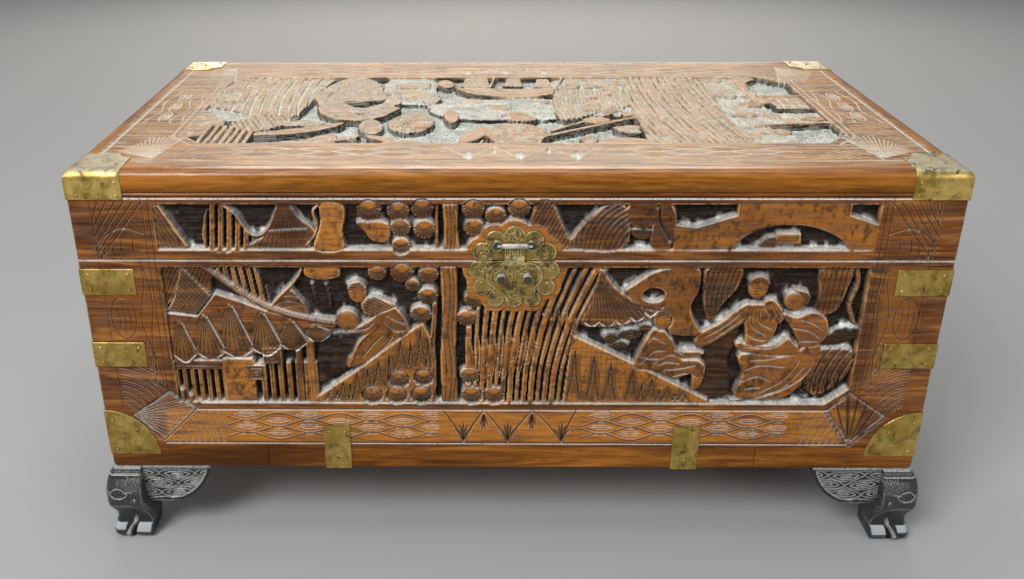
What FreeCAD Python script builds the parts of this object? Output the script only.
import FreeCAD, Part
import math
import os
import Sketcher

# A carved camphor-wood chest on four claw feet, with a hinged lid, brass mounts and a hasp.
# Millimetres, +Z up, front towards -Y. The origin is on the floor under the middle of the chest.

PARTS_FOLDER = "parts"

SIZES = [
    # The case
    ("chest_width", 914, "outside width of the case, X"),
    ("chest_depth", 502, "outside depth of the case, Y"),
    ("foot_height", 95, "floor to the underside of the case"),
    ("body_height", 258, "underside of the case to the seam under the lid"),
    ("board_thickness", 24, "walls of the case and of the lid"),
    ("corner_lap", 12, "depth of the lap where a side board enters a front or back board"),
    ("rail_height", 28, "plain rail round the foot of the case"),
    ("rail_end_length", 180, "end of the case to the scarf in the front rail"),
    ("bottom_thickness", 14, "bottom board"),
    ("bottom_ledge", 12, "width of the ledge that the bottom board lies on"),
    # The carved fields
    ("recess_depth", 9, "depth of the carved fields"),
    ("recess_end_margin", 86, "end of a board to its carved field"),
    ("recess_low_margin", 57, "top of the rail to the carved field"),
    ("recess_top_margin", 8, "carved field to the seam"),
    ("recess_cut_run", 25, "cut corner of the carved field, along the board"),
    ("recess_cut_rise", 20, "cut corner of the carved field, up the board"),
    ("form_sink", 1, "face of a board to the tops of the forms left standing in its field"),
    # The lid
    ("seam_gap", 0.4, "running gap between lid and case"),
    ("lid_rise", 97.6, "seam to the top of the lid"),
    ("nose_height", 27.6, "rounded edge moulding of the lid"),
    ("nose_width", 15, "width of that moulding seen from above"),
    ("nose_radius", 9, "its rounded top edge"),
    ("lid_recess_low_margin", 12, "lid edge to the carved field of the skirt"),
    ("lid_recess_top_margin", 8, "carved field of the skirt to the moulding"),
    ("top_recess_margin", 97, "front or back of the lid to the carved field on top"),
    ("top_cut_run", 29, "cut corner of the field on top, along X"),
    ("top_cut_rise", 33, "cut corner of the field on top, along Y"),
    # The feet, measured from the corner of the case
    ("foot_bulge", 13, "how far the brow of the leg stands out past the case"),
    ("foot_band", 7, "how far the top band of the leg stands out past the case"),
    ("foot_width", 42, "corner of the case to the inner face of the leg"),
    ("foot_waist", 2, "how far the ankle is set in from the corner"),
    ("foot_splay", 6, "how far the toes reach inwards past the leg"),
    ("foot_round", 9, "rounded edges of the leg"),
    ("band_height", 8, "top band of the leg"),
    ("brow_drop", 30, "underside of the case to the widest part of the brow"),
    ("cheek_drop", 50, "underside of the case to the foot of the cheek"),
    ("ankle_drop", 66, "underside of the case to the ankle"),
    ("toe_drop", 86, "underside of the case to the widest part of the toes"),
    ("wing_length", 74, "bracket beside the leg"),
    ("wing_height", 50, "bracket beside the leg"),
    ("wing_foot_length", 34, "straight lower edge of the bracket"),
    ("wing_thickness", 20, "bracket beside the leg"),
    ("wing_setback", 2, "bracket face behind the face of the case"),
    ("wing_curve", 60, "radius of the bracket's curved end"),
    # Sheet brass
    ("brass_thickness", 1.2, "straps, corner plates and caps"),
    ("strap_length", 57, "reach of straps and caps from the corner"),
    ("strap_height", 30, "corner straps"),
    ("upper_strap_drop", 40, "seam to the lower edge of the upper straps"),
    ("lower_strap_rise", 131, "underside of the case to the lower straps"),
    ("corner_plate_rise", 17, "underside of the case to the quarter-round plates"),
    ("corner_plate_radius", 56, "quarter-round plates"),
    ("base_strap_inset", 197, "middle of the case to the middle of a base strap"),
    ("base_strap_width", 30, "base straps"),
    ("base_strap_rise", 56, "height of a base strap"),
    ("base_strap_return", 26, "leg of a base strap under the case"),
    ("cap_drop", 30.6, "height of the lid's corner caps"),
    ("cap_round_relief", 0.5, "how much tighter the cap's bend is than the wood's"),
    ("cap_hollow", 15, "radius of the hollow corner of a cap"),
    ("nail_radius", 1.7, "round nail heads"),
    # The lock
    ("plate_thickness", 1.5, "lock plates"),
    ("plate_radius", 35, "middle of the lower lock plate"),
    ("plate_drop", 9, "seam to the middle of the lower lock plate"),
    ("upper_plate_radius", 26, "middle of the upper lock plate"),
    ("upper_plate_rise", 6, "seam to the middle of the upper lock plate"),
    ("rosette_margin", 7, "wooden rosette seen round the lock plates"),
    ("hasp_gap", 0.5, "gap behind the hasp"),
    ("hasp_thickness", 2, "hasp plate"),
    ("hasp_hinge_rise", 19, "seam to the axis of the hasp"),
    ("hasp_neck_width", 21, "neck of the hasp"),
    ("hasp_lobe_radius", 15.6, "side lobes of the hasp"),
    ("hasp_knuckle_radius", 3.4, "rolled knuckle of the hasp"),
    ("hasp_pin_radius", 1.8, "pin of the hasp"),
    ("knob_spread", 36, "distance between the two knobs of the hasp pin"),
    ("knob_radius", 5.4, "knobs of the hasp pin"),
    ("stem_radius", 3, "stems of the knobs"),
    ("lug_drop", 17, "seam to the middle of the lock lugs"),
    ("lug_spread", 27.4, "distance between the two lock lugs"),
    ("lug_radius", 4.4, "lock lugs"),
    ("lug_reach", 9, "how far the lugs stand out in front of the hasp"),
    ("lug_bore_radius", 2, "cross bore for the bar of a padlock"),
    ("lug_hole_clearance", 0.8, "lug to its hole in the hasp"),
    # The hinges
    ("hinge_inset", 280, "middle of the chest to the middle of a hinge"),
    ("hinge_length", 60, "hinge leaf and barrel"),
    ("leaf_height", 32, "axis to the free edge of a leaf"),
    ("leaf_thickness", 1.6, "hinge leaf"),
    ("barrel_radius", 4.2, "hinge barrel"),
    ("barrel_standoff", 0.3, "barrel to the back of the case"),
    ("hinge_pin_radius", 2, "hinge pin"),
    ("running_clearance", 0.06, "radial clearance where a knuckle turns on its pin"),
    ("knuckle_gap", 0.5, "gap between two knuckles, and round a knuckle"),
    # One overrun for all cuts
    ("overrun", 10, "how far a cutter passes the face that it cuts"),
]

KNUCKLES = 5

# Forms left standing in a carved field: outlines whose points are shares of the field's half length and of
# its height or half depth, and discs, each with its radius as a share of the latter.
FRONT_FORM_SHARES = {
    "peaks": [(-1.05, 0.72), (-1.05, 1.05), (-0.85, 1.05), (-0.87, 0.83), (-0.92, 0.7)],
    "waterfall": [(-0.84, 1.05), (-0.74, 1.05), (-0.7, 0.71), (-0.76, 0.78), (-0.83, 0.9)],
    "roof": [(-1.05, 0.31), (-1.05, 0.68), (-0.92, 0.65), (-0.86, 0.82), (-0.8, 0.77), (-0.7, 0.68),
             (-0.5, 0.61), (-0.53, 0.53), (-0.65, 0.4), (-0.81, 0.37)],
    "house_wall": [(-0.86, -0.05), (-0.77, -0.05), (-0.77, 0.4), (-0.86, 0.4)],
    "gate_post": [(-0.61, -0.05), (-0.57, -0.05), (-0.58, 0.44), (-0.62, 0.44)],
    "left_slope": [(-0.6, -0.05), (-0.45, 0.28), (-0.26, 0.61), (-0.23, 0.4), (-0.23, -0.05)],
    "bowing_figure": [(-0.4, 0.33), (-0.32, 0.48), (-0.3, 0.56), (-0.34, 0.73), (-0.41, 0.8), (-0.45, 0.76),
                      (-0.4, 0.66), (-0.49, 0.57), (-0.47, 0.52), (-0.43, 0.52), (-0.48, 0.29)],
    "pine_trunk": [(-0.21, -0.05), (-0.21, 1.05), (-0.16, 1.05), (-0.16, -0.05)],
    "bamboo_left": [(-0.14, -0.05), (-0.04, -0.05), (0, 1.05), (-0.13, 1.05)],
    "bamboo_middle": [(-0.03, -0.05), (0.06, -0.05), (0.08, 0.5), (0.155, 1.05), (0.02, 1.05), (-0.02, 0.5)],
    "bamboo_right": [(0.07, -0.05), (0.14, -0.05), (0.175, 0.5), (0.27, 1.05), (0.17, 1.05), (0.1, 0.5)],
    "small_roof": [(0.245, 1.05), (0.25, 0.93), (0.29, 0.83), (0.34, 0.75), (0.42, 0.7), (0.35, 0.6),
                   (0.2, 0.59), (0.22, 0.8)],
    "pierced_rock": [(0.31, 0.82), (0.39, 0.97), (0.45, 1.05), (0.52, 1.05), (0.53, 0.85), (0.51, 0.72),
                     (0.55, 0.52), (0.46, 0.53), (0.43, 0.7), (0.38, 0.73)],
    "right_slope": [(0.17, 0.52), (0.35, 0.31), (0.6, 0.02), (0.6, -0.05), (0.15, -0.05), (0.16, 0.27)],
    "seated_figure": [(0.4, 0.55), (0.43, 0.57), (0.46, 0.48), (0.55, 0.34), (0.57, 0.27), (0.56, 0.13),
                      (0.53, 0.11), (0.53, 0.22), (0.44, 0.2), (0.36, 0.28), (0.37, 0.4)],
    "seated_arm": [(0.43, 0.53), (0.55, 0.4), (0.55, 0.36), (0.46, 0.38)],
    "middle_trunk": [(0.55, 1.05), (0.64, 1.05), (0.63, 0.85), (0.57, 0.6), (0.55, 0.7), (0.54, 0.85)],
    "two_figures": [(0.66, 0.38), (0.68, 0.21), (0.65, 0.03), (0.77, 0.02), (0.83, 0.07), (0.9, 0.35),
                    (0.91, 0.53), (0.9, 0.64), (0.86, 0.69), (0.81, 0.65), (0.78, 0.68), (0.74, 0.78),
                    (0.67, 0.76), (0.6, 0.61), (0.53, 0.53), (0.54, 0.44), (0.66, 0.58)],
    "right_rock": [(0.85, 0.41), (1.05, 0.41), (1.05, 0.24), (0.94, 0.1), (0.9, 0.06), (0.86, 0.19)],
    "right_trunk": [(0.87, 1.05), (0.95, 1.05), (0.95, 0.85), (0.93, 0.7), (0.88, 0.66), (0.87, 0.82)],
}
FRONT_DISC_SHARES = [
    (-0.45, 0.82, 0.07), (-0.48, 0.62, 0.08), (0.43, 0.62, 0.06), (0.7, 0.85, 0.08), (0.81, 0.76, 0.08),
    (-0.39, 0.96, 0.06), (-0.32, 0.96, 0.08), (-0.25, 0.95, 0.06), (-0.245, 0.79, 0.065), (-0.265, 0.65, 0.065),
]
ROCK_HOLE_SHARE = (0.4, 0.81, 0.06)

SKIRT_FORM_SHARES = {
    "far_peak": [(-1.05, -0.1), (-0.92, -0.1), (-0.98, 1.1), (-1.05, 1.1)],
    "cliff": [(-0.87, -0.1), (-0.85, 1.1), (-0.8, 1.1), (-0.75, 0.42), (-0.74, -0.1)],
    "cone": [(-0.72, -0.1), (-0.67, 0.6), (-0.65, 1.1), (-0.62, 1.1), (-0.56, 0.36), (-0.58, -0.1)],
    "post": [(-0.55, -0.1), (-0.54, 0.64), (-0.54, 1.1), (-0.48, 1.1), (-0.48, -0.1)],
    "shelf": [(-0.44, 0.68), (-0.35, 0.68), (-0.35, 0.18), (-0.4, 0.18)],
    "pine_trunk": [(-0.2, -0.1), (-0.2, 1.1), (-0.16, 1.1), (-0.16, -0.1)],
    "near_peak": [(0.03, -0.1), (0.06, 1.1), (0.1, 1.1), (0.15, -0.1)],
    "curling_rock": [(0.17, -0.1), (0.17, 0.2), (0.26, 1.1), (0.3, 1.1), (0.32, 0.6), (0.3, -0.1)],
    "hanging_rock": [(0.31, 0.64), (0.37, 0.5), (0.38, 1.1), (0.31, 1.1)],
    "crag": [(0.39, -0.1), (0.39, 0.6), (0.4, 1.1), (0.43, 1.1), (0.44, 0.6), (0.43, -0.1)],
    "bridge": [(0.46, -0.1), (0.46, 0.5), (0.5, 0.46), (0.61, 0.72), (0.61, 1.1), (0.92, 1.1), (0.92, 0.72),
               (1.05, 0.5), (1.05, -0.1), (0.94, -0.1), (0.6, -0.1)],
    "boat": [(0.72, 0.12), (0.73, 0.36), (0.79, 0.36), (0.8, 0.12)],
}
SKIRT_DISC_SHARES = [
    (-0.4, 0.86, 0.26), (-0.32, 0.84, 0.24), (-0.25, 0.9, 0.22), (-0.32, 0.46, 0.2), (-0.25, 0.42, 0.22),
    (-0.32, 0.1, 0.2), (-0.115, 0.88, 0.24), (-0.055, 0.7, 0.2), (-0.115, 0.46, 0.2), (0.01, 0.94, 0.22),
]
BRIDGE_ARCH_SHARE = 0.2

TOP_FORM_SHARES = {
    "waterfall": [(-0.93, 1.05), (-0.64, 1.05), (-0.67, 0), (-0.71, -0.3), (-0.81, -0.25), (-1.05, 0.07),
                  (-1.05, 0.8)],
    "mound": [(-1.05, -0.12), (-0.97, -0.14), (-0.9, -0.46), (-0.9, -0.66), (-0.93, -0.75), (-1.05, -0.8)],
    "fence": [(-0.88, -0.98), (-0.79, -0.98), (-0.79, -0.52), (-0.88, -0.52)],
    "bank": [(-0.76, -1.05), (-0.71, -0.94), (-0.63, -0.88), (-0.55, -0.71), (-0.53, -0.8), (-0.55, -1.05)],
    "long_hull": [(-0.78, -0.71), (-0.71, -0.65), (-0.53, -0.44), (-0.54, -0.54), (-0.68, -0.76), (-0.78, -0.79)],
    "arched_hill": [(-0.65, 0.22), (-0.64, 0.64), (-0.59, 0.95), (-0.53, 1.05), (-0.46, 0.85), (-0.43, 0.54),
                    (-0.42, 0.22)],
    "back_wall": [(-0.4, 0.64), (-0.27, 0.64), (-0.27, 0.81), (-0.4, 0.81)],
    "roofs": [(-0.63, 0.18), (-0.49, -0.04), (-0.36, 0.16), (-0.36, -0.05), (-0.41, -0.28), (-0.48, -0.41),
              (-0.55, -0.37), (-0.62, -0.19)],
    "tall_leaf": [(-0.21, -0.05), (-0.17, -0.05), (-0.17, -0.45), (-0.21, -0.45)],
    "big_boat": [(-0.18, 0.66), (-0.13, 0.45), (-0.04, 0.35), (0.07, 0.33), (0.15, 0.43), (0.18, 0.63)],
    "left_sail": [(-0.16, 0.71), (-0.06, 0.7), (-0.07, 0.98), (-0.15, 0.98)],
    "middle_sail": [(-0.02, 0.71), (0.06, 0.7), (0.05, 0.98), (0, 0.98)],
    "right_sail": [(0.09, 0.7), (0.16, 0.7), (0.15, 0.95), (0.11, 0.95)],
    "left_skiff": [(-0.24, 0.65), (-0.2, 0.65), (-0.2, 0.92), (-0.24, 0.92)],
    "right_skiff": [(0.21, 0.68), (0.26, 0.68), (0.26, 0.95), (0.21, 0.95)],
    "far_rocks": [(-0.17, 0.13), (0.13, 0.13), (0.13, 0.27), (-0.17, 0.27)],
    "near_rocks": [(-0.14, -0.25), (0.12, -0.25), (0.12, 0.07), (-0.14, 0.07)],
    "leaning_leaf": [(-0.17, -0.95), (-0.13, -0.97), (-0.06, -0.6), (-0.09, -0.53), (-0.14, -0.7)],
    "oar": [(0.1, -0.82), (0.12, -0.86), (0.42, -0.32), (0.4, -0.28)],
    "pole": [(0.12, -0.68), (0.135, -0.71), (0.335, -0.2), (0.32, -0.165)],
    "hill": [(0.25, -1.05), (0.27, -0.9), (0.34, -0.82), (0.39, -0.9), (0.4, -1.05)],
    "reeds": [(0.16, -0.2), (0.17, 0.5), (0.23, 0.61), (0.39, 0.6), (0.39, 0.1), (0.35, 0), (0.24, -0.2)],
    "bamboo_left": [(0.42, -1.05), (0.405, 0), (0.41, 0.64), (0.45, 1.05), (0.55, 1.05), (0.55, -1.05)],
    "bamboo_right": [(0.56, -1.05), (0.56, 1.05), (0.68, 1.05), (0.7, 0.45), (0.69, -0.33), (0.7, -1.05)],
    "crags": [(0.72, -0.38), (0.85, -0.38), (0.85, 0.35), (0.83, 0.95), (0.73, 0.95), (0.72, 0.4)],
    "right_crags": [(0.87, -0.36), (0.98, -0.34), (0.97, -0.14), (0.88, -0.14)],
    "near_crags": [(0.73, -1.05), (0.83, -1.05), (0.84, -0.65), (0.73, -0.65)],
    "ridge": [(0.72, -0.59), (0.72, -0.53), (1.05, -0.42), (1.05, -0.48)],
    "lattice": [(0.88, -0.05), (1.05, -0.05), (1.05, 0.31), (0.88, 0.31)],
    "right_wall": [(0.87, 0.38), (0.87, 1.05), (0.91, 1.05), (0.9, 0.38)],
}
TOP_DISC_SHARES = [
    (-0.44, -0.53, 0.11), (-0.31, -0.42, 0.2), (0.015, -0.73, 0.24), (0.27, -0.37, 0.085), (0.23, -0.87, 0.09),
]

# Lobes of the lock plates and hasp: place across, place up and radius, as shares of the plate's radius.
LOWER_LOBE_SHARES = [(1.16, 0.04, 0.24), (0.98, -0.45, 0.27), (0.53, -0.82, 0.27), (0.0, -1.0, 0.22)]
UPPER_LOBE_SHARES = [(1.33, 0.12, 0.32), (1.14, 0.52, 0.34), (0.62, 0.86, 0.32), (0.0, 0.9, 0.3)]
HASP_LOBE_SHARES = [(0.88, 0.0, 1.0), (0.86, -0.84, 0.56), (0.0, -1.12, 0.68), (0.0, -0.1, 0.95)]

# Heads of nails on each kind of brass, as shares of its reach along the board and of its height.
STRAP_NAIL_SHARES = [(0.16, 0.2), (0.16, 0.8), (0.88, 0.2), (0.88, 0.8)]
CORNER_PLATE_NAIL_SHARES = [(0.14, 0.12), (0.82, 0.12), (0.14, 0.8), (0.6, 0.58)]
CAP_SIDE_NAIL_SHARES = [(0.2, 0.16), (0.9, 0.16), (0.9, 0.6)]
CAP_TOP_NAIL_SHARES = [(0.3, 0.88), (0.88, 0.3), (0.55, 0.55)]
BASE_STRAP_NAIL_SHARES = [(-0.3, 0.85), (0.3, 0.85), (0.0, 0.2)]

doc = FreeCAD.newDocument("camphor_chest")
sheet = doc.addObject("Spreadsheet::Sheet", "dims")
published = {}


class Size:
    """A length: its value, and the expression that binds it to the sheet."""

    def __init__(self, value, text):
        self.value = value
        self.text = text

    def __add__(self, other):
        return Size(self.value + other.value, f"({self.text} + {other.text})")

    def __sub__(self, other):
        return Size(self.value - other.value, f"({self.text} - {other.text})")

    def __neg__(self):
        return Size(-self.value, f"(0 - {self.text})")

    def __mul__(self, factor):
        return Size(self.value * factor, f"({self.text} * {factor})")

    def __truediv__(self, factor):
        return Size(self.value / factor, f"({self.text} / {factor})")


class Sizes:
    """The named sizes of the sheet, each as a Size."""


def fill_sheet():
    names = Sizes()
    for row, (alias, value, note) in enumerate(SIZES, start=1):
        sheet.set(f"A{row}", alias)
        sheet.set(f"B{row}", str(value))
        sheet.set(f"C{row}", note)
        sheet.setAlias(f"B{row}", alias)
        setattr(names, alias, Size(value, f"dims.{alias}"))
    doc.recompute()
    return names


s = fill_sheet()
ZERO = Size(0, "0")

# Places that many pieces share
half_width = s.chest_width / 2
half_depth = s.chest_depth / 2
underside = s.foot_height
rail_top = underside + s.rail_height
seam = underside + s.body_height
lid_edge = seam + s.seam_gap
lid_top = seam + s.lid_rise
nose_edge = lid_top - s.nose_height
inner_width = half_width - s.board_thickness
inner_depth = half_depth - s.board_thickness
lap_depth = half_depth - s.corner_lap
upper_strap = seam - s.upper_strap_drop
lower_strap = underside + s.lower_strap_rise


def bind(thing, **sizes):
    """Set lengths of an object, and keep them bound to the sheet."""
    for name, size in sizes.items():
        thing.setExpression(name, size.text)


def place(thing, x=ZERO, y=ZERO, z=ZERO, turn=None):
    """Put an object at a bound place, with a fixed turn."""
    thing.Placement = FreeCAD.Placement(FreeCAD.Vector(), turn or FreeCAD.Rotation())
    for axis, size in (("x", x), ("y", y), ("z", z)):
        thing.setExpression(f"Placement.Base.{axis}", size.text)
    return thing


def publish(thing, node):
    """Name an object as a piece of the chest."""
    thing.Label = node
    published[node] = thing
    return thing


def box(name, x, y, z):
    """A box between bound limits: x, y and z are (low, high) pairs."""
    thing = doc.addObject("Part::Box", name)
    bind(thing, Length=x[1] - x[0], Width=y[1] - y[0], Height=z[1] - z[0])
    return place(thing, x[0], y[0], z[0])


def cylinder(name, radius, length, x, y, z, along):
    """A cylinder whose axis runs from a bound point along X, Y or Z."""
    turns = {
        "x": FreeCAD.Rotation(FreeCAD.Vector(0, 1, 0), 90),
        "y": FreeCAD.Rotation(FreeCAD.Vector(1, 0, 0), -90),
        "z": FreeCAD.Rotation(),
    }
    thing = doc.addObject("Part::Cylinder", name)
    bind(thing, Radius=radius, Height=length)
    return place(thing, x, y, z, turns[along])


def cut(name, base, *tools):
    """A base less one or more tools."""
    thing = doc.addObject("Part::Cut", name)
    thing.Base = base
    thing.Tool = tools[0] if len(tools) == 1 else fuse(name + "_tools", *tools)
    return thing


def fuse(name, *shapes):
    thing = doc.addObject("Part::MultiFuse", name)
    thing.Shapes = list(shapes)
    thing.Refine = True
    return thing


def common(name, one, other):
    thing = doc.addObject("Part::MultiCommon", name)
    thing.Shapes = [one, other]
    return thing


def group(name, *shapes):
    """Separate solids that share one node."""
    thing = doc.addObject("Part::Compound", name)
    thing.Links = list(shapes)
    return thing


def outline(sketch, points, arcs=None):
    """A closed outline through bound points. arcs gives a segment's radius, bulging to its right."""
    arcs = arcs or {}
    count = len(points)
    flat = [FreeCAD.Vector(across.value, up.value, 0) for across, up in points]
    segments = []
    # A sketch counts its own origin as point 1 of geometry -1, and the ends of a segment as 1 and 2.
    for index in range(count):
        first, last = flat[index], flat[(index + 1) % count]
        if index in arcs:
            segments.append(sketch.addGeometry(arc_between(first, last, arcs[index].value)))
        else:
            segments.append(sketch.addGeometry(Part.LineSegment(first, last)))
    for index, geometry in enumerate(segments):
        following = segments[(index + 1) % count]
        sketch.addConstraint(Sketcher.Constraint("Coincident", geometry, 2, following, 1))
        for kind, size in zip(("DistanceX", "DistanceY"), points[index]):
            held = sketch.addConstraint(Sketcher.Constraint(kind, -1, 1, geometry, 1, size.value))
            sketch.setExpression(f"Constraints[{held}]", size.text)
        if index in arcs:
            held = sketch.addConstraint(Sketcher.Constraint("Radius", geometry, arcs[index].value))
            sketch.setExpression(f"Constraints[{held}]", arcs[index].text)


def arc_between(first, last, radius):
    """An arc under a half circle that bulges to the right on its way from first to last."""
    chord = last - first
    left = FreeCAD.Vector(-chord.y, chord.x, 0)
    left.normalize()
    half = chord.Length / 2
    centre = (first + last) / 2 + left * max(radius * radius - half * half, 0) ** 0.5
    angles = [math.atan2(point.y - centre.y, point.x - centre.x) for point in (first, last)]
    return Part.ArcOfCircle(Part.Circle(centre, FreeCAD.Vector(0, 0, 1), radius), *angles)


def sketch_in(body, role, offset, points, arcs=None):
    """A sketch on one of the body's own origin planes, moved along its normal by a bound offset."""
    plane = [feature for feature in body.Origin.OriginFeatures if feature.Role == role][0]
    sketch = body.newObject("Sketcher::SketchObject", body.Name + "_sketch")
    sketch.AttachmentSupport = [(plane, "")]
    sketch.MapMode = "FlatFace"
    sketch.setExpression("AttachmentOffset.Base.z", offset.text)
    outline(sketch, points, arcs)
    return sketch


def padded(name, role, low, high, points, arcs=None):
    """A body padded from an outline, from low to high along the plane's axis."""
    body = doc.addObject("PartDesign::Body", name)
    backwards = role == "XZ_Plane"
    sketch = sketch_in(body, role, -low if backwards else low, points, arcs)
    pad = body.newObject("PartDesign::Pad", name + "_pad")
    pad.Profile = sketch
    pad.Reversed = backwards
    bind(pad, Length=high - low)
    return body


def rectangle(low_x, high_x, low_y, high_y):
    return [(low_x, low_y), (high_x, low_y), (high_x, high_y), (low_x, high_y)]


# The four corners of the case, in quarter turns from the first, and where the two brackets go that a
# foot made for the first corner would have along X and along Y.
CORNERS = [
    ("front_left", ("front", "side")),
    ("front_right", ("side", "front")),
    ("back_right", ("back", "side")),
    ("back_left", ("side", "back")),
]


def corner_frame(corner):
    """The signs of a corner's X and Y, and the turn of a piece made for the first corner."""
    side = 1 if corner[0].endswith("right") else -1
    face = 1 if corner[0].startswith("back") else -1
    return side, face, FreeCAD.Rotation(FreeCAD.Vector(0, 0, 1), 90 * CORNERS.index(corner))


def at_corner(thing, corner, height):
    """Move a piece made at the origin, reaching along +X and +Y, to a corner of the case."""
    side, face, turn = corner_frame(corner)
    return place(thing, half_width * side, half_depth * face, height, turn)


def lobes(name, shares, scale, centre_z, low_y, high_y, margin=ZERO):
    """Discs with their axes along Y, mirrored across the chest's middle, that make a lobed edge."""
    discs = []
    for across, up, radius in shares:
        for side in ((-1, 1) if across else (1,)):
            disc = cylinder(name + "_lobe", scale * radius + margin, high_y - low_y,
                            scale * (across * side), low_y, centre_z + scale * up, "y")
            discs.append(disc)
    return discs


def lock_outline(name, upper, low_y, high_y, margin=ZERO):
    """The solid lobed outline of one lock plate, or of the rosette round it."""
    shares = UPPER_LOBE_SHARES if upper else LOWER_LOBE_SHARES
    radius = s.upper_plate_radius if upper else s.plate_radius
    centre = seam + s.upper_plate_rise if upper else seam - s.plate_drop
    middle = cylinder(name + "_middle", radius + margin, high_y - low_y, ZERO, low_y, centre, "y")
    discs = lobes(name, shares, radius, centre, low_y, high_y, margin)
    whole = fuse(name + "_whole", middle, *discs)
    reach = (s.plate_radius + s.rosette_margin) * 2
    span = (lid_edge, lid_edge + reach) if upper else (seam - reach, seam)
    return common(name, whole, box(name + "_limit", (-reach, reach), (low_y, high_y), span))


def front_forms(name, form_shares, disc_shares, low, high, half_length, arcs=None):
    """The forms left standing in a field on the front, between its top and its floor."""
    span = (-half_depth + s.form_sink, -half_depth + s.recess_depth + s.overrun)
    tall = high - low
    forms = []
    for form, shares in form_shares.items():
        points = [(half_length * across, low + tall * up) for across, up in shares]
        forms.append(padded(f"{name}_{form}", "XZ_Plane", *span, points, (arcs or {}).get(form)))
    for across, up, radius in disc_shares:
        forms.append(cylinder(name + "_disc", tall * radius, span[1] - span[0], half_length * across,
                              span[0], low + tall * up, "y"))
    return fuse(name, *forms)


def top_forms(name, form_shares, disc_shares, half_length, half_across):
    """The forms left standing in the field on top of the lid."""
    span = (lid_top - s.recess_depth - s.overrun, lid_top - s.form_sink)
    forms = []
    for form, shares in form_shares.items():
        points = [(half_length * across, half_across * up) for across, up in shares]
        forms.append(padded(f"{name}_{form}", "XY_Plane", *span, points))
    for across, up, radius in disc_shares:
        forms.append(cylinder(name + "_disc", half_across * radius, span[1] - span[0], half_length * across,
                              half_across * up, span[0], "z"))
    return fuse(name, *forms)


def field_tool(name, face, low, high, half_length, run, rise, *keep):
    """A cutter for a carved field with two cut lower corners, on the front face or on an end face. What it
    keeps is left standing in the field."""
    points = [
        (-half_length + run, low), (half_length - run, low), (half_length, low + rise),
        (half_length, high), (-half_length, high), (-half_length, low + rise),
    ]
    if face == "front":
        tool = padded(name, "XZ_Plane", -half_depth - s.overrun, -half_depth + s.recess_depth, points)
    elif face == "left":
        tool = padded(name, "YZ_Plane", -half_width - s.overrun, -half_width + s.recess_depth, points)
    else:
        tool = padded(name, "YZ_Plane", half_width - s.recess_depth, half_width + s.overrun, points)
    return cut(name + "_round_forms", tool, *keep) if keep else tool


def plain_field_tool(name, face, low, high, half_length):
    """A cutter for a rectangular carved field of the lid's skirt."""
    if face == "front":
        return box(name, (-half_length, half_length), (-half_depth - s.overrun, -half_depth + s.recess_depth),
                   (low, high))
    if face == "left":
        return box(name, (-half_width - s.overrun, -half_width + s.recess_depth), (-half_length, half_length),
                   (low, high))
    return box(name, (half_width - s.recess_depth, half_width + s.overrun), (-half_length, half_length),
               (low, high))


def long_board(name, face, low, high):
    """A front or back board, rabbeted at both ends for the side boards."""
    sign = -1 if face == "front" else 1
    outer, inner, lap = half_depth * sign, inner_depth * sign, lap_depth * sign
    depth = (outer, inner) if sign < 0 else (inner, outer)
    lap_span = (lap, inner + s.overrun) if sign < 0 else (inner - s.overrun, lap)
    board = box(name + "_blank", (-half_width, half_width), depth, (low, high))
    past = half_width + s.overrun
    tall = (low - s.overrun, high + s.overrun)
    left = box(name + "_left_lap", (-past, -inner_width), lap_span, tall)
    right = box(name + "_right_lap", (inner_width, past), lap_span, tall)
    return cut(name + "_lapped", board, left, right)


def short_board(name, side, low, high):
    """A left or right board, whose ends enter the laps."""
    span = (-half_width, -inner_width) if side == "left" else (inner_width, half_width)
    return box(name + "_blank", span, (-lap_depth, lap_depth), (low, high))


def case_boards():
    """Front, back and side boards of the case with their carved fields."""
    low = rail_top + s.recess_low_margin
    high = seam - s.recess_top_margin
    front_half = half_width - s.recess_end_margin
    side_half = half_depth - s.recess_end_margin
    rosette = lock_outline("lower_rosette", False, -half_depth - s.overrun, -half_depth + s.recess_depth,
                           s.rosette_margin)
    tall = high - low
    across, up, radius = ROCK_HOLE_SHARE
    hole = cylinder("rock_hole", tall * radius, s.recess_depth + s.overrun * 2, front_half * across,
                    -half_depth - s.overrun / 2, low + tall * up, "y")
    forms = front_forms("front_forms", FRONT_FORM_SHARES, FRONT_DISC_SHARES, low, high, front_half)
    tool = field_tool("front_field", "front", low, high, front_half, s.recess_cut_run, s.recess_cut_rise,
                      rosette, cut("pierced_forms", forms, hole))
    publish(cut("front_board", long_board("front_board", "front", rail_top, seam), tool), "front_board")
    publish(long_board("back_board", "back", rail_top, seam), "back_board")
    for side in ("left", "right"):
        tool = field_tool(side + "_field", side, low, high, side_half, s.recess_cut_run, s.recess_cut_rise)
        board = short_board(side + "_board", side, rail_top, seam)
        publish(cut(side + "_board", board, tool), side + "_board")


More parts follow.
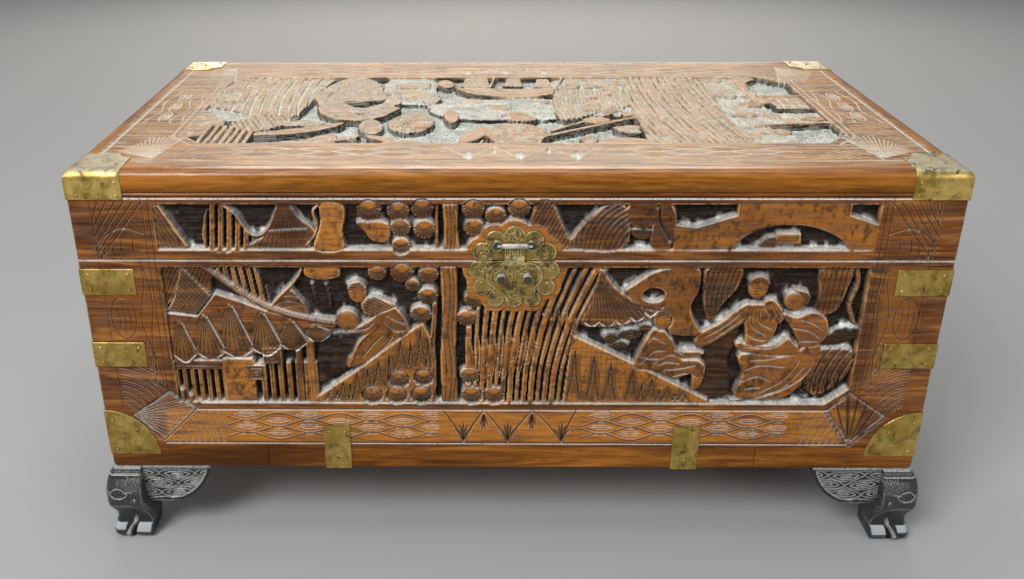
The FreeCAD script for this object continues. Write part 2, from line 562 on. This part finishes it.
def base():
    """Rails round the foot of the case, and the bottom board on their ledge."""
    ledge = rail_top - s.bottom_thickness
    ledge_width = half_width - s.board_thickness + s.bottom_ledge
    ledge_depth = half_depth - s.board_thickness + s.bottom_ledge
    joint = half_width - s.rail_end_length
    tray = box("bottom_seat", (-ledge_width, ledge_width), (-ledge_depth, ledge_depth),
               (ledge, rail_top + s.overrun))
    spans = {
        "base_rail_front_left": ((-half_width, -joint), (-half_depth, -inner_depth)),
        "base_rail_front": ((-joint, joint), (-half_depth, -inner_depth)),
        "base_rail_front_right": ((joint, half_width), (-half_depth, -inner_depth)),
        "base_rail_back": ((-half_width, half_width), (inner_depth, half_depth)),
        "base_rail_left": ((-half_width, -inner_width), (-inner_depth, inner_depth)),
        "base_rail_right": ((inner_width, half_width), (-inner_depth, inner_depth)),
    }
    for node, (x, y) in spans.items():
        rail = box(node + "_blank", x, y, (underside, rail_top))
        publish(cut(node, rail, tray), node)
    publish(box("bottom_board", (-ledge_width, ledge_width), (-ledge_depth, ledge_depth), (ledge, rail_top)),
            "bottom_board")


def leg_section(inset, width, radius):
    """A square section with rounded corners, from its inset at the corner to its inner faces."""
    low, high = inset, width
    return [
        (low + radius, low), (high - radius, low), (high, low + radius), (high, high - radius),
        (high - radius, high), (low + radius, high), (low, high - radius), (low, low + radius),
    ]


def feet():
    """At each corner a leg with a bulging brow, a narrow ankle and splayed toes, and two brackets."""
    sections = [
        (ZERO, -s.foot_band, s.foot_width),
        (-s.band_height, -s.foot_band, s.foot_width),
        (-s.brow_drop, -s.foot_bulge, s.foot_width),
        (-s.cheek_drop, -s.foot_band, s.foot_width),
        (-s.ankle_drop, s.foot_waist, s.foot_width),
        (-s.toe_drop, -s.foot_waist, s.foot_width + s.foot_splay),
        (-s.foot_height, s.foot_waist, s.foot_width + s.foot_splay - s.foot_waist),
    ]
    wing_end = s.foot_width + s.wing_length
    wing = [
        (s.foot_width, -s.wing_height), (s.foot_width + s.wing_foot_length, -s.wing_height),
        (wing_end, ZERO), (s.foot_width, ZERO),
    ]
    depth = (s.wing_setback, s.wing_setback + s.wing_thickness)
    for corner in CORNERS:
        name, brackets = corner[0], corner[-1]
        leg = doc.addObject("PartDesign::Body", "foot_" + name)
        rings = []
        for drop, inset, width in sections:
            points = leg_section(inset, width, s.foot_round)
            rounds = {index: s.foot_round for index in range(len(points)) if index % 2}
            rings.append(sketch_in(leg, "XY_Plane", drop, points, rounds))
        loft = leg.newObject("PartDesign::AdditiveLoft", "foot_" + name + "_loft")
        loft.Profile = (rings[0], [""])
        loft.Sections = [(ring, [""]) for ring in rings[1:]]
        loft.Ruled = True
        publish(at_corner(leg, corner, underside), "foot_" + name)
        for role, bracket in zip(("XZ_Plane", "YZ_Plane"), brackets):
            node = f"foot_{name}_{bracket}_wing"
            body = padded(node, role, depth[0], depth[1], wing, {1: s.wing_curve})
            publish(at_corner(body, corner, underside), node)


def lid():
    """Skirt boards, rounded edge mouldings and the carved top board."""
    low = seam + s.lid_recess_low_margin
    high = nose_edge - s.lid_recess_top_margin
    front_half = half_width - s.recess_end_margin
    side_half = half_depth - s.recess_end_margin
    rosette = lock_outline("upper_rosette", True, -half_depth - s.overrun, -half_depth + s.recess_depth,
                           s.rosette_margin)
    arch_start = len(SKIRT_FORM_SHARES["bridge"]) - 2
    forms = front_forms("skirt_forms", SKIRT_FORM_SHARES, SKIRT_DISC_SHARES, low, high, front_half,
                        {"bridge": {arch_start: front_half * BRIDGE_ARCH_SHARE}})
    field = cut("skirt_field", plain_field_tool("skirt_front_field", "front", low, high, front_half), rosette,
                forms)
    publish(cut("lid_skirt_front", long_board("skirt_front", "front", lid_edge, nose_edge), field),
            "lid_skirt_front")
    publish(long_board("lid_skirt_back", "back", lid_edge, nose_edge), "lid_skirt_back")
    for side in ("left", "right"):
        tool = plain_field_tool(f"skirt_{side}_field", side, low, high, side_half)
        board = short_board(f"skirt_{side}", side, lid_edge, nose_edge)
        publish(cut("lid_skirt_" + side, board, tool), "lid_skirt_" + side)

    in_x, in_y = half_width - s.nose_width, half_depth - s.nose_width
    mitres = {
        "front": [(-half_width, -half_depth), (half_width, -half_depth), (in_x, -in_y), (-in_x, -in_y)],
        "back": [(half_width, half_depth), (-half_width, half_depth), (-in_x, in_y), (in_x, in_y)],
        "left": [(-half_width, half_depth), (-half_width, -half_depth), (-in_x, -in_y), (-in_x, in_y)],
        "right": [(half_width, -half_depth), (half_width, half_depth), (in_x, in_y), (in_x, -in_y)],
    }
    for side, plan in mitres.items():
        strip = padded("lid_nose_" + side, "XY_Plane", nose_edge, lid_top, plan)
        round_top_edges(strip, half_width.value, half_depth.value, lid_top.value, s.nose_radius)
        publish(strip, "lid_nose_" + side)

    board = box("lid_top_blank", (-in_x, in_x), (-in_y, in_y), (nose_edge, lid_top))
    field_x = half_width - s.recess_end_margin
    field_y = half_depth - s.top_recess_margin
    cut_x, cut_y = field_x - s.top_cut_run, field_y - s.top_cut_rise
    octagon = [
        (-cut_x, -field_y), (cut_x, -field_y), (field_x, -cut_y), (field_x, cut_y),
        (cut_x, field_y), (-cut_x, field_y), (-field_x, cut_y), (-field_x, -cut_y),
    ]
    field = padded("lid_top_field", "XY_Plane", lid_top - s.recess_depth, lid_top + s.overrun, octagon)
    forms = top_forms("top_forms", TOP_FORM_SHARES, TOP_DISC_SHARES, field_x, field_y)
    publish(cut("lid_top_board", board, cut("lid_top_field_round_forms", field, forms)), "lid_top_board")


def round_top_edges(body, outer_x, outer_y, height, radius):
    """Round each edge of a padded body that lies on the given outer faces at the given height."""
    doc.recompute()
    pad = body.Tip
    tolerance = 1e-6
    names = []
    for number, edge in enumerate(pad.Shape.Edges, start=1):
        ends = [vertex.Point for vertex in edge.Vertexes]
        at_top = all(abs(point.z - height) < tolerance for point in ends)
        on_x = all(abs(abs(point.x) - outer_x) < tolerance for point in ends)
        on_y = all(abs(abs(point.y) - outer_y) < tolerance for point in ends)
        if at_top and (on_x or on_y):
            names.append(f"Edge{number}")
    fillet = body.newObject("PartDesign::Fillet", body.Name + "_round")
    fillet.Base = (pad, names)
    bind(fillet, Radius=radius)


def corner_cap(corner):
    """A brass cap over a corner of the lid: front, side and top in one bent piece."""
    name = "lid_cap_" + corner[0]
    reach, skin = s.strap_length, s.brass_thickness
    outside = padded(name + "_outside", "XY_Plane", -s.cap_drop, skin, rectangle(-skin, reach, -skin, reach))
    round_top_edges_at_corner(outside, skin.value, s.nose_radius + skin)
    past = reach + s.overrun
    inside = padded(name + "_inside", "XY_Plane", -s.cap_drop - s.overrun, ZERO,
                    rectangle(ZERO, past, ZERO, past))
    round_top_edges_at_corner(inside, 0, s.nose_radius - s.cap_round_relief)
    hollow = cylinder(name + "_hollow", s.cap_hollow, skin + s.overrun, reach, reach, -s.overrun, "z")
    publish(at_corner(cut(name, outside, inside, hollow), corner, lid_top), name)


def round_top_edges_at_corner(body, outset, radius):
    """Round the two top edges that meet at a cap's corner, where both outer faces lie at -outset."""
    doc.recompute()
    pad = body.Tip
    top = pad.Shape.BoundBox.ZMax
    tolerance = 1e-6
    names = []
    for number, edge in enumerate(pad.Shape.Edges, start=1):
        ends = [vertex.Point for vertex in edge.Vertexes]
        at_top = all(abs(point.z - top) < tolerance for point in ends)
        on_x = all(abs(point.x + outset) < tolerance for point in ends)
        on_y = all(abs(point.y + outset) < tolerance for point in ends)
        if at_top and (on_x or on_y):
            names.append(f"Edge{number}")
    fillet = body.newObject("PartDesign::Fillet", body.Name + "_round")
    fillet.Base = (pad, names)
    bind(fillet, Radius=radius)


def corner_strap(name, corner, height):
    """A flat brass strap bent round a corner of the case, with its lower edge at a height."""
    skin, reach = s.brass_thickness, s.strap_length
    past = reach + s.overrun
    outside = box(name + "_outside", (-skin, reach), (-skin, reach), (ZERO, s.strap_height))
    inside = box(name + "_inside", (ZERO, past), (ZERO, past), (-s.overrun, s.strap_height + s.overrun))
    publish(at_corner(cut(name, outside, inside), corner, height), name)


def corner_plate(corner):
    """Two quarter discs of brass, joined along a corner of the case."""
    name = "corner_plate_" + corner[0]
    skin = s.brass_thickness
    radius = s.corner_plate_radius + skin
    front = padded(name + "_front", "XZ_Plane", -skin, ZERO,
                   [(-skin, ZERO), (s.corner_plate_radius, ZERO), (-skin, radius)], {1: radius})
    side = padded(name + "_side", "YZ_Plane", -skin, ZERO,
                  [(-skin, ZERO), (s.corner_plate_radius, ZERO), (-skin, radius)], {1: radius})
    publish(at_corner(fuse(name, front, side), corner, underside + s.corner_plate_rise), name)


def base_straps():
    """Two brass straps up the front of the rail, turned in under the case."""
    straps = []
    skin = s.brass_thickness
    half = s.base_strap_width / 2
    for side in (-1, 1):
        middle = s.base_strap_inset * side
        span = (middle - half, middle + half)
        upright = box("base_strap_upright", span, (-half_depth - skin, -half_depth),
                      (underside - skin, underside + s.base_strap_rise))
        turned = box("base_strap_return", span, (-half_depth - skin, -half_depth + s.base_strap_return),
                     (underside - skin, underside))
        straps.append(fuse("base_strap", upright, turned))
    publish(group("base_straps", *straps), "base_straps")


def lock():
    """Lock plates, lugs, and the hasp on its pin between two knobs."""
    face = -half_depth
    plate_front = face - s.plate_thickness
    hasp_back = plate_front - s.hasp_gap
    hasp_front = hasp_back - s.hasp_thickness
    axis_y = plate_front - s.knob_radius + s.hasp_gap
    axis_z = seam + s.hasp_hinge_rise
    lug_z = seam - s.lug_drop
    publish(lock_outline("lower_lock_plate", False, plate_front, face), "lower_lock_plate")
    publish(lock_outline("upper_lock_plate", True, plate_front, face), "upper_lock_plate")

    lugs = []
    lug_end = hasp_front - s.lug_reach
    bore_y = hasp_front - s.lug_reach / 2
    for side in (-1, 1):
        lugs.append(cylinder("lug", s.lug_radius, plate_front - lug_end, s.lug_spread / 2 * side, lug_end,
                             lug_z, "y"))
    reach = s.lug_spread / 2 + s.lug_radius + s.overrun
    bore = cylinder("lug_bore", s.lug_bore_radius, reach * 2, -reach, bore_y, lug_z, "x")
    drilled = [cut("drilled_lug", lug, bore) for lug in lugs]
    publish(group("lock_lugs", *drilled), "lock_lugs")

    half_spread = s.knob_spread / 2
    pin = cylinder("hasp_pin", s.hasp_pin_radius, s.knob_spread, -half_spread, axis_y, axis_z, "x")
    publish(pin, "hasp_pin")
    knobs = []
    for side in (-1, 1):
        ball = doc.addObject("Part::Sphere", "knob_ball")
        bind(ball, Radius=s.knob_radius)
        place(ball, half_spread * side, axis_y, axis_z)
        stem = cylinder("knob_stem", s.stem_radius, plate_front - axis_y, half_spread * side, axis_y,
                        axis_z, "y")
        behind = box("knob_trim", (half_spread * side - s.overrun, half_spread * side + s.overrun),
                     (plate_front, face + s.overrun), (axis_z - s.overrun, axis_z + s.overrun))
        knobs.append(cut("knob", fuse("knob_whole", ball, stem), behind, pin))
    publish(group("hasp_knobs", *knobs), "hasp_knobs")

    half_neck = s.hasp_neck_width / 2
    neck = box("hasp_neck", (-half_neck, half_neck), (hasp_front, hasp_back), (lug_z, axis_z))
    plate = fuse("hasp_plate", neck, *lobes("hasp", HASP_LOBE_SHARES, s.hasp_lobe_radius, lug_z,
                                            hasp_front, hasp_back))
    knuckle = cylinder("hasp_knuckle", s.hasp_knuckle_radius, s.hasp_neck_width, -half_neck, axis_y,
                       axis_z, "x")
    bore = cylinder("hasp_bore", s.hasp_pin_radius + s.running_clearance, s.hasp_neck_width + s.overrun,
                    -half_neck - s.overrun / 2, axis_y, axis_z, "x")
    holes = [cylinder("lug_hole", s.lug_radius + s.lug_hole_clearance, s.hasp_thickness + s.overrun,
                      s.lug_spread / 2 * side, hasp_front - s.overrun / 2, lug_z, "y") for side in (-1, 1)]
    publish(cut("hasp", fuse("hasp_whole", plate, knuckle), bore, *holes), "hasp")


def hinge(side, kind):
    """One leaf of a butt hinge with its knuckles, for the case or for the lid."""
    name = f"hinge_{kind}_{side}"
    middle = s.hinge_inset * side
    start = middle - s.hinge_length / 2
    axis_y = half_depth + s.barrel_standoff + s.barrel_radius
    axis_z = seam + s.seam_gap / 2
    pitch = s.hinge_length / KNUCKLES
    half_gap = s.knuckle_gap / 2
    lower = kind == "body"
    leaf_span = (axis_z - s.leaf_height, axis_z) if lower else (axis_z, axis_z + s.leaf_height)
    leaf = box(name + "_plate", (start + half_gap, start + s.hinge_length - half_gap),
               (half_depth, half_depth + s.leaf_thickness), leaf_span)
    clear = s.barrel_radius + s.knuckle_gap
    knuckles, notches = [], []
    for index in range(KNUCKLES):
        low = start + pitch * index
        if (index % 2 == 0) == lower:
            knuckles.append(cylinder(name + "_knuckle", s.barrel_radius, pitch - s.knuckle_gap,
                                     low + half_gap, axis_y, axis_z, "x"))
        else:
            notches.append(box(name + "_notch", (low - half_gap, low + pitch + half_gap),
                               (half_depth - s.overrun, half_depth + s.overrun),
                               (axis_z - clear, axis_z + clear)))
    radius = s.hinge_pin_radius if lower else s.hinge_pin_radius + s.running_clearance
    bore = cylinder(name + "_bore", radius, s.hinge_length + s.overrun * 2, start - s.overrun, axis_y,
                    axis_z, "x")
    return cut(name, fuse(name + "_whole", cut(name + "_notched", leaf, *notches), *knuckles), bore)


def hinges():
    """Two butt hinges behind the chest."""
    for kind in ("body", "lid"):
        publish(group(f"hinge_{kind}_leaves", hinge(-1, kind), hinge(1, kind)), f"hinge_{kind}_leaves")
    pins = []
    axis_y = half_depth + s.barrel_standoff + s.barrel_radius
    for side in (-1, 1):
        start = s.hinge_inset * side - s.hinge_length / 2
        pins.append(cylinder("hinge_pin", s.hinge_pin_radius, s.hinge_length, start, axis_y,
                             seam + s.seam_gap / 2, "x"))
    publish(group("hinge_pins", *pins), "hinge_pins")


def nail_head(place_at, outward):
    """A half-round nail head on a brass face."""
    return Part.makeSphere(s.nail_radius.value, place_at, outward, 0, 90, 360)


def corner_nails(height, shares, reach, tall):
    """Nail heads on both faces of a brass piece at each corner of the case."""
    heads = []
    for corner in CORNERS:
        side, face, turn = corner_frame(corner)
        origin = FreeCAD.Vector(half_width.value * side, half_depth.value * face, height)
        skin = -s.brass_thickness.value
        for along, up in shares:
            for local, outward in (((along * reach, skin, up * tall), (0, -1, 0)),
                                   ((skin, along * reach, up * tall), (-1, 0, 0))):
                centre = origin + turn.multVec(FreeCAD.Vector(*local))
                heads.append(nail_head(centre, turn.multVec(FreeCAD.Vector(*outward))))
    return heads


def cap_top_nails():
    """Nail heads on the top of the lid's caps."""
    heads = []
    reach = s.strap_length.value
    for corner in CORNERS:
        side, face, turn = corner_frame(corner)
        origin = FreeCAD.Vector(half_width.value * side, half_depth.value * face,
                                lid_top.value + s.brass_thickness.value)
        for along, across in CAP_TOP_NAIL_SHARES:
            centre = origin + turn.multVec(FreeCAD.Vector(along * reach, across * reach, 0))
            heads.append(nail_head(centre, FreeCAD.Vector(0, 0, 1)))
    return heads


def base_strap_nails():
    """Nail heads on the base straps."""
    heads = []
    outward = FreeCAD.Vector(0, -1, 0)
    front = -half_depth.value - s.brass_thickness.value
    for side in (-1, 1):
        for across, up in BASE_STRAP_NAIL_SHARES:
            x = s.base_strap_inset.value * side + across * s.base_strap_width.value
            z = underside.value + up * s.base_strap_rise.value
            heads.append(nail_head(FreeCAD.Vector(x, front, z), outward))
    return heads


def plate_nails(upper):
    """A nail head in each of the two outer lobes on either side of a lock plate."""
    shares = UPPER_LOBE_SHARES[:2] if upper else LOWER_LOBE_SHARES[:2]
    radius = s.upper_plate_radius.value if upper else s.plate_radius.value
    centre = (seam + s.upper_plate_rise if upper else seam - s.plate_drop).value
    front = -half_depth.value - s.plate_thickness.value
    outward = FreeCAD.Vector(0, -1, 0)
    return [nail_head(FreeCAD.Vector(across * side * radius, front, centre + up * radius), outward)
            for across, up, _ in shares for side in (-1, 1)]


def nails():
    """All nail heads of the case, and all of the lid."""
    reach, tall = s.strap_length.value, s.strap_height.value
    plate = s.corner_plate_radius.value
    body = []
    for height in (upper_strap, lower_strap):
        body += corner_nails(height.value, STRAP_NAIL_SHARES, reach, tall)
    body += corner_nails((underside + s.corner_plate_rise).value, CORNER_PLATE_NAIL_SHARES, plate, plate)
    body += base_strap_nails() + plate_nails(False)
    cap_foot = (lid_top - s.cap_drop).value
    lid_heads = corner_nails(cap_foot, CAP_SIDE_NAIL_SHARES, reach, s.cap_drop.value)
    lid_heads += cap_top_nails() + plate_nails(True)
    for node, heads in (("body_nails", body), ("lid_nails", lid_heads)):
        feature = doc.addObject("Part::Feature", node)
        feature.Shape = Part.makeCompound(heads)
        publish(feature, node)


def check_and_write():
    """Stop on any failed object, then write each piece to its own file."""
    doc.recompute()
    failed = [thing.Name for thing in doc.Objects
              if any(word in thing.State for word in ("Invalid", "Error"))]
    if failed:
        raise RuntimeError("failed objects: " + ", ".join(failed))
    for node, thing in published.items():
        shape = thing.Shape
        if shape.isNull() or not shape.isValid() or not shape.Solids:
            raise RuntimeError("bad shape: " + node)
    os.makedirs(PARTS_FOLDER, exist_ok=True)
    for node, thing in published.items():
        thing.Shape.exportStep(os.path.join(PARTS_FOLDER, node + ".step"))
    print(len(published), "pieces written")


case_boards()
base()
feet()
lid()
for corner in CORNERS:
    corner_cap(corner)
    corner_strap("strap_upper_" + corner[0], corner, upper_strap)
    corner_strap("strap_lower_" + corner[0], corner, lower_strap)
    corner_plate(corner)
base_straps()
lock()
hinges()
nails()
check_and_write()
